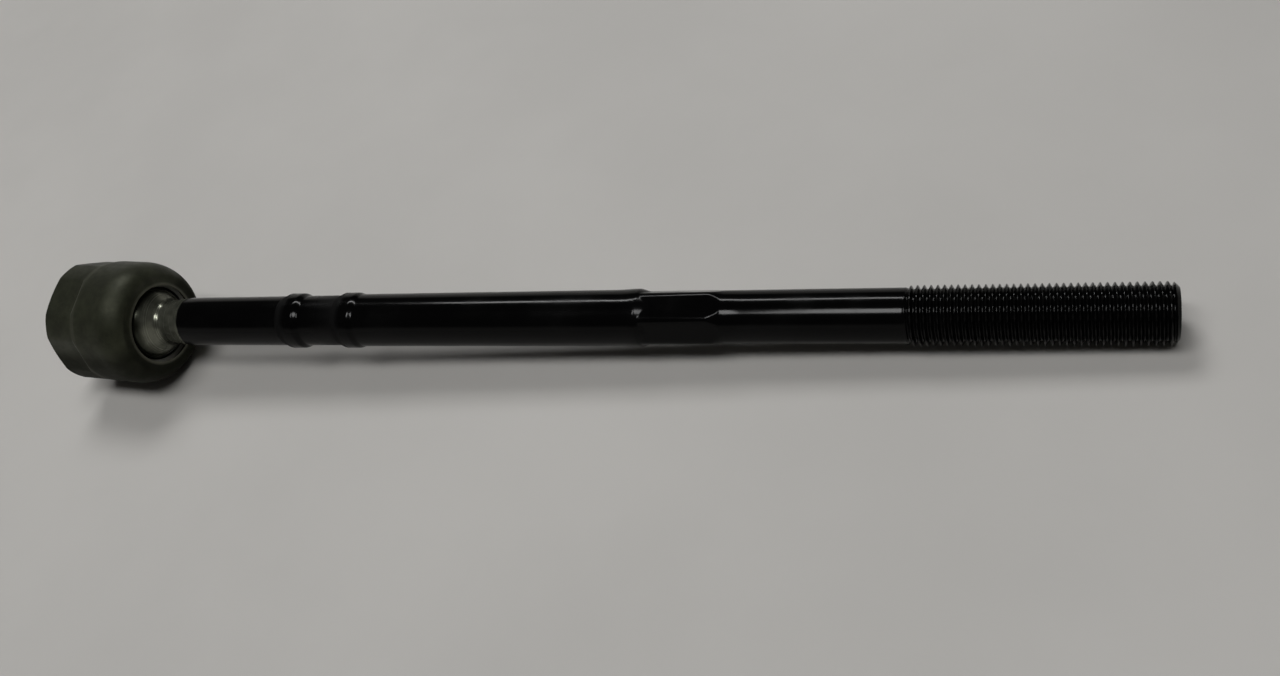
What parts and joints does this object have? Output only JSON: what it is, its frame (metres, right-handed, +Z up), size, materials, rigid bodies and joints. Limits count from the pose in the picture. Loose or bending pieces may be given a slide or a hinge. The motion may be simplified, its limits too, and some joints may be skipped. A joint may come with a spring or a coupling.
{
  "type": "inner tie rod",
  "caption": "Steering inner tie rod: a black rod with wrench flats and a threaded end, swivelling by its ball in a crimped steel socket housing with a hexagon and a rack stud.",
  "frame": {"origin": "middle of the rack stud's end face", "axes": "+X along the socket housing's axis towards the rod, +Z up as the part lies on a table, +Y away from the side that the picture is taken from"},
  "size_m": [0.3047, 0.0533, 0.035],
  "materials": {
    "black_paint": "gloss black paint on the rod; the ball and the waist beside it are bare bright steel",
    "grey_steel": "dark grey phosphated steel with a faint olive cast, semi-matt",
    "seat_polymer": "natural moulded polymer",
    "spring_steel": "plain spring steel"
  },
  "bodies": {
    "housing": {"socket_housing": "grey_steel"},
    "seats": {"front_ball_seat": "seat_polymer", "rear_ball_seat": "seat_polymer", "preload_spring": "spring_steel"},
    "rod": {"tie_rod": "black_paint"}
  },
  "joints": [
    {"name": "ball_turn", "type": "hinge", "parent": "housing", "child": "seats", "pos_m": [0.0288, 0, 0], "axis": [1, 0, 0], "continuous": true},
    {"name": "ball_swing", "type": "hinge", "parent": "seats", "child": "rod", "pos_m": [0.0288, 0, 0], "axis": [0, 0.3414, 0.9399], "range_deg": [-28.4, 15.6]}
  ]
}
